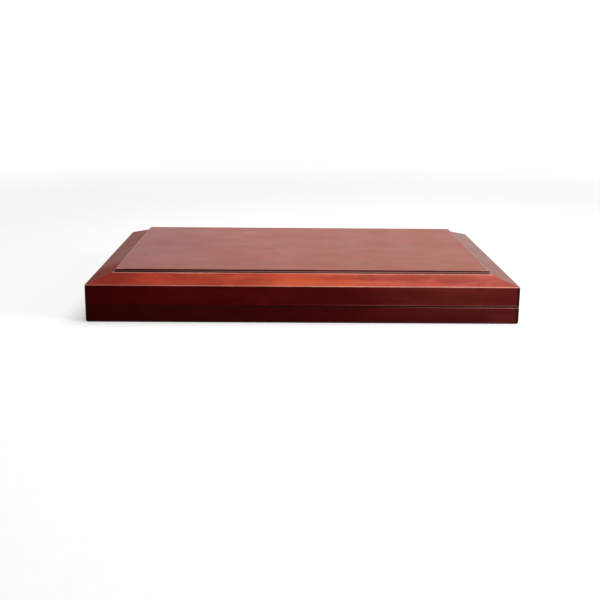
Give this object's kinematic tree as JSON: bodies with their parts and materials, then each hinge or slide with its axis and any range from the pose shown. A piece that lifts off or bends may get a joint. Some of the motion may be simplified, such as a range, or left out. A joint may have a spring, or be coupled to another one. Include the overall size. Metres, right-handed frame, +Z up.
{
  "type": "games compendium box",
  "caption": "Flat hinged wooden box with a bevelled lid and raised panel, fitted inside with bays for board, card and table games.",
  "frame": {"origin": "middle of the underside, on the surface that the box stands on", "axes": "+Z up, front of the box towards -Y, width along X; the lid's hinge is at the back, towards +Y"},
  "size_m": [0.45, 0.3324, 0.0508],
  "materials": {
    "cherry_lacquer": "red-brown stained cherry under gloss lacquer",
    "lining_wood": "satin mahogany",
    "floor_board": "plywood",
    "green_felt": "felt",
    "dark_baize": "baize",
    "boxwood": "polished boxwood",
    "ebonised_wood": "polished black-stained wood",
    "walnut": "satin walnut",
    "board_veneer": "inlaid veneer under satin lacquer",
    "brass": "polished and lacquered",
    "tile_resin": "ivory-coloured resin",
    "card_red": "printed card case",
    "card_blue": "printed card case"
  },
  "bodies": {
    "base": {"base_front_wall": "cherry_lacquer", "base_back_wall": "cherry_lacquer", "base_left_wall": "cherry_lacquer", "base_right_wall": "cherry_lacquer", "base_floor": "floor_board", "base_baize": "dark_baize", "floor_felt": "green_felt", "liner_front": "lining_wood", "liner_back": "lining_wood", "liner_left": "lining_wood", "liner_right": "lining_wood", "divider_front": "lining_wood", "divider_left": "lining_wood", "divider_right": "lining_wood", "draughts_dividers": "lining_wood", "card_dividers": "lining_wood", "divider_dominoes": "lining_wood", "divider_dice": "lining_wood", "cribbage_board": "walnut", "peg_cover_screw": "brass", "light_pegs": "boxwood", "dark_pegs": "ebonised_wood", "light_king": "boxwood", "light_queen": "boxwood", "light_bishops": "boxwood", "light_knights": "boxwood", "light_rooks": "boxwood", "light_pawns": "boxwood", "light_draughts": "boxwood", "dark_king": "ebonised_wood", "dark_queen": "ebonised_wood", "dark_bishops": "ebonised_wood", "dark_knights": "ebonised_wood", "dark_rooks": "ebonised_wood", "dark_pawns": "ebonised_wood", "dark_draughts": "ebonised_wood", "dominoes": "tile_resin", "card_pack_left": "card_red", "card_pack_right": "card_blue", "dice": "tile_resin", "doubling_cube": "tile_resin", "base_hinge_leaves": "brass", "hinge_pins": "brass", "base_hinge_screws": "brass"},
    "lid": {"lid_front_rail": "cherry_lacquer", "lid_back_rail": "cherry_lacquer", "lid_left_rail": "cherry_lacquer", "lid_right_rail": "cherry_lacquer", "lid_panel": "cherry_lacquer", "lid_lining": "green_felt", "games_board": "board_veneer", "board_batten": "lining_wood", "board_ledge": "lining_wood", "lid_hinge_leaves": "brass", "lid_hinge_screws": "brass", "turn_button_screws": "brass"},
    "turn_button_left": {"turn_button_left": "brass"},
    "turn_button_right": {"turn_button_right": "brass"},
    "peg_cover": {"peg_cover": "brass"}
  },
  "joints": [
    {"name": "lid_hinge", "type": "hinge", "parent": "base", "child": "lid", "pos_m": [0, 0.165, 0.0175], "axis": [-1, 0, 0], "range_deg": [0, 98]},
    {"name": "turn_button_left", "type": "hinge", "parent": "lid", "child": "turn_button_left", "pos_m": [-0.09, -0.1464, 0.03225], "axis": [0, 0, 1], "range_deg": [0, 90]},
    {"name": "turn_button_right", "type": "hinge", "parent": "lid", "child": "turn_button_right", "pos_m": [0.09, -0.1464, 0.03225], "axis": [0, 0, -1], "range_deg": [0, 90]},
    {"name": "peg_cover", "type": "hinge", "parent": "base", "child": "peg_cover", "pos_m": [0.1118, -0.0988, 0.0165], "axis": [0, 0, -1], "range_deg": [0, 90]}
  ]
}
